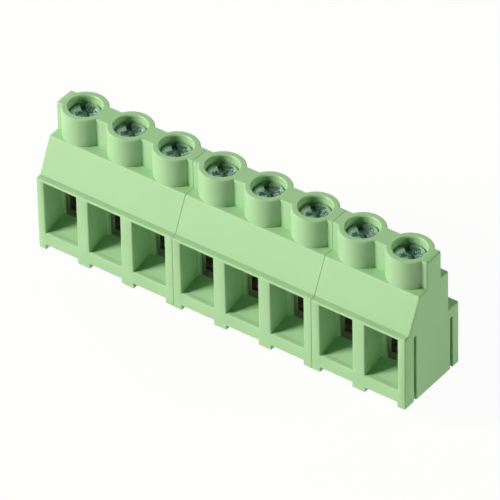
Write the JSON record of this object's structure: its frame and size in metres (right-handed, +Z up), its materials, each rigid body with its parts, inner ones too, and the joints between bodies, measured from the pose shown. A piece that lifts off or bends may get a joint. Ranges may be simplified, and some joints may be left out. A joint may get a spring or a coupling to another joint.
{
  "type": "pcb screw terminal block",
  "caption": "Pale green screw terminal block for circuit boards: moulded modules joined in a row, round screw towers above square wire openings, lift-clamp cages and solder pins.",
  "frame": {"origin": "on the board surface (bottom of the housing's feet), at the middle of the row of solder pins", "axes": "+X along the row of poles, +Y from the wire side to the back, +Z up from the board"},
  "size_m": [0.0617, 0.0124, 0.025],
  "materials": {
    "housing": "moulded polyamide, pale green, satin",
    "screw": "steel, bright zinc plated",
    "sleeve": "steel, nickel plated",
    "bar": "brass, tin plated"
  },
  "bodies": {
    "block": {"housing_left": "housing", "housing_middle": "housing", "housing_right": "housing", "current_bar_1": "bar", "current_bar_2": "bar", "current_bar_3": "bar", "current_bar_4": "bar", "current_bar_5": "bar", "current_bar_6": "bar", "current_bar_7": "bar", "current_bar_8": "bar"},
    "screw_1": {"clamp_screw_1": "screw"},
    "sleeve_1": {"clamp_sleeve_1": "sleeve"},
    "screw_2": {"clamp_screw_2": "screw"},
    "sleeve_2": {"clamp_sleeve_2": "sleeve"},
    "screw_3": {"clamp_screw_3": "screw"},
    "sleeve_3": {"clamp_sleeve_3": "sleeve"},
    "screw_4": {"clamp_screw_4": "screw"},
    "sleeve_4": {"clamp_sleeve_4": "sleeve"},
    "screw_5": {"clamp_screw_5": "screw"},
    "sleeve_5": {"clamp_sleeve_5": "sleeve"},
    "screw_6": {"clamp_screw_6": "screw"},
    "sleeve_6": {"clamp_sleeve_6": "sleeve"},
    "screw_7": {"clamp_screw_7": "screw"},
    "sleeve_7": {"clamp_sleeve_7": "sleeve"},
    "screw_8": {"clamp_screw_8": "screw"},
    "sleeve_8": {"clamp_sleeve_8": "sleeve"}
  },
  "joints": [
    {"name": "screw_turn_1", "type": "hinge", "parent": "block", "child": "screw_1", "pos_m": [-0.02667, -0.00285, 0], "axis": [0, 0, -1], "range_deg": [0, 2448]},
    {"name": "sleeve_lift_1", "type": "slide", "parent": "block", "child": "sleeve_1", "axis": [0, 0, 1], "range_m": [0, 0.0034]},
    {"name": "screw_turn_2", "type": "hinge", "parent": "block", "child": "screw_2", "pos_m": [-0.01905, -0.00285, 0], "axis": [0, 0, -1], "range_deg": [0, 2448]},
    {"name": "sleeve_lift_2", "type": "slide", "parent": "block", "child": "sleeve_2", "axis": [0, 0, 1], "range_m": [0, 0.0034]},
    {"name": "screw_turn_3", "type": "hinge", "parent": "block", "child": "screw_3", "pos_m": [-0.01143, -0.00285, 0], "axis": [0, 0, -1], "range_deg": [0, 2448]},
    {"name": "sleeve_lift_3", "type": "slide", "parent": "block", "child": "sleeve_3", "axis": [0, 0, 1], "range_m": [0, 0.0034]},
    {"name": "screw_turn_4", "type": "hinge", "parent": "block", "child": "screw_4", "pos_m": [-0.00381, -0.00285, 0], "axis": [0, 0, -1], "range_deg": [0, 2448]},
    {"name": "sleeve_lift_4", "type": "slide", "parent": "block", "child": "sleeve_4", "axis": [0, 0, 1], "range_m": [0, 0.0034]},
    {"name": "screw_turn_5", "type": "hinge", "parent": "block", "child": "screw_5", "pos_m": [0.00381, -0.00285, 0], "axis": [0, 0, -1], "range_deg": [0, 2448]},
    {"name": "sleeve_lift_5", "type": "slide", "parent": "block", "child": "sleeve_5", "axis": [0, 0, 1], "range_m": [0, 0.0034]},
    {"name": "screw_turn_6", "type": "hinge", "parent": "block", "child": "screw_6", "pos_m": [0.01143, -0.00285, 0], "axis": [0, 0, -1], "range_deg": [0, 2448]},
    {"name": "sleeve_lift_6", "type": "slide", "parent": "block", "child": "sleeve_6", "axis": [0, 0, 1], "range_m": [0, 0.0034]},
    {"name": "screw_turn_7", "type": "hinge", "parent": "block", "child": "screw_7", "pos_m": [0.01905, -0.00285, 0], "axis": [0, 0, -1], "range_deg": [0, 2448]},
    {"name": "sleeve_lift_7", "type": "slide", "parent": "block", "child": "sleeve_7", "axis": [0, 0, 1], "range_m": [0, 0.0034]},
    {"name": "screw_turn_8", "type": "hinge", "parent": "block", "child": "screw_8", "pos_m": [0.02667, -0.00285, 0], "axis": [0, 0, -1], "range_deg": [0, 2448]},
    {"name": "sleeve_lift_8", "type": "slide", "parent": "block", "child": "sleeve_8", "axis": [0, 0, 1], "range_m": [0, 0.0034]}
  ],
  "couplings": [
    {"joint": "screw_turn_1", "follows": "sleeve_lift_1", "rad_per_m": 12566},
    {"joint": "screw_turn_2", "follows": "sleeve_lift_2", "rad_per_m": 12566},
    {"joint": "screw_turn_3", "follows": "sleeve_lift_3", "rad_per_m": 12566},
    {"joint": "screw_turn_4", "follows": "sleeve_lift_4", "rad_per_m": 12566},
    {"joint": "screw_turn_5", "follows": "sleeve_lift_5", "rad_per_m": 12566},
    {"joint": "screw_turn_6", "follows": "sleeve_lift_6", "rad_per_m": 12566},
    {"joint": "screw_turn_7", "follows": "sleeve_lift_7", "rad_per_m": 12566},
    {"joint": "screw_turn_8", "follows": "sleeve_lift_8", "rad_per_m": 12566}
  ]
}
